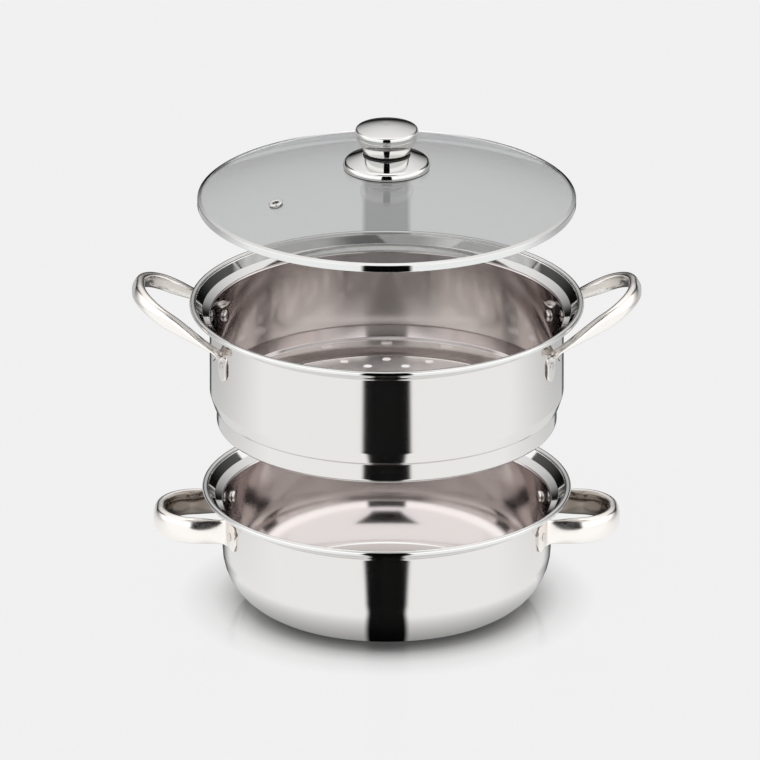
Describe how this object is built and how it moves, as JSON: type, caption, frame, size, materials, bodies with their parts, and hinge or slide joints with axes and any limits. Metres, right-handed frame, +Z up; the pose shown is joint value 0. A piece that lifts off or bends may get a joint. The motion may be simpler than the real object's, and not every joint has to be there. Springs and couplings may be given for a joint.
{
  "type": "steamer pot",
  "caption": "Stainless steamer pot: shallow base pot, perforated steamer tier and domed glass lid, lifted apart on one axis; tier and lid slide down to stack.",
  "frame": {"origin": "on the floor, under the middle of the base pot", "axes": "+Z up along the axis that all three tiers share, X through the handles, -Y towards the viewer"},
  "size_m": [0.3768, 0.292, 0.3774],
  "materials": {
    "steel": "bright polished stainless sheet",
    "handle_steel": "bright polished stainless tube",
    "rivet_steel": "plain stainless",
    "glass": "clear tempered glass with a light grey tint",
    "seal_rubber": "matt black silicone"
  },
  "bodies": {
    "base_pot": {"base_pot_shell": "steel", "base_handle_right": "handle_steel", "base_handle_left": "handle_steel", "base_rivets_right": "rivet_steel", "base_rivets_left": "rivet_steel"},
    "steamer_tier": {"tier_shell": "steel", "tier_handle_right": "handle_steel", "tier_handle_left": "handle_steel", "tier_rivets_right": "rivet_steel", "tier_rivets_left": "rivet_steel"},
    "lid": {"lid_glass": "glass", "lid_rim_band": "steel", "vent_eyelet": "steel", "knob_foot_plate": "steel", "knob_gasket": "seal_rubber", "knob_neck_ring": "seal_rubber", "knob_cup": "steel", "knob_cap": "steel", "knob_insert": "rivet_steel", "screw_seal": "seal_rubber", "screw_washer": "rivet_steel", "knob_screw": "rivet_steel"}
  },
  "joints": [
    {"name": "tier_lift", "type": "slide", "parent": "base_pot", "child": "steamer_tier", "axis": [0, 0, 1], "range_m": [-0.06, 0]},
    {"name": "lid_lift", "type": "slide", "parent": "steamer_tier", "child": "lid", "axis": [0, 0, 1], "range_m": [-0.0805, 0]}
  ]
}
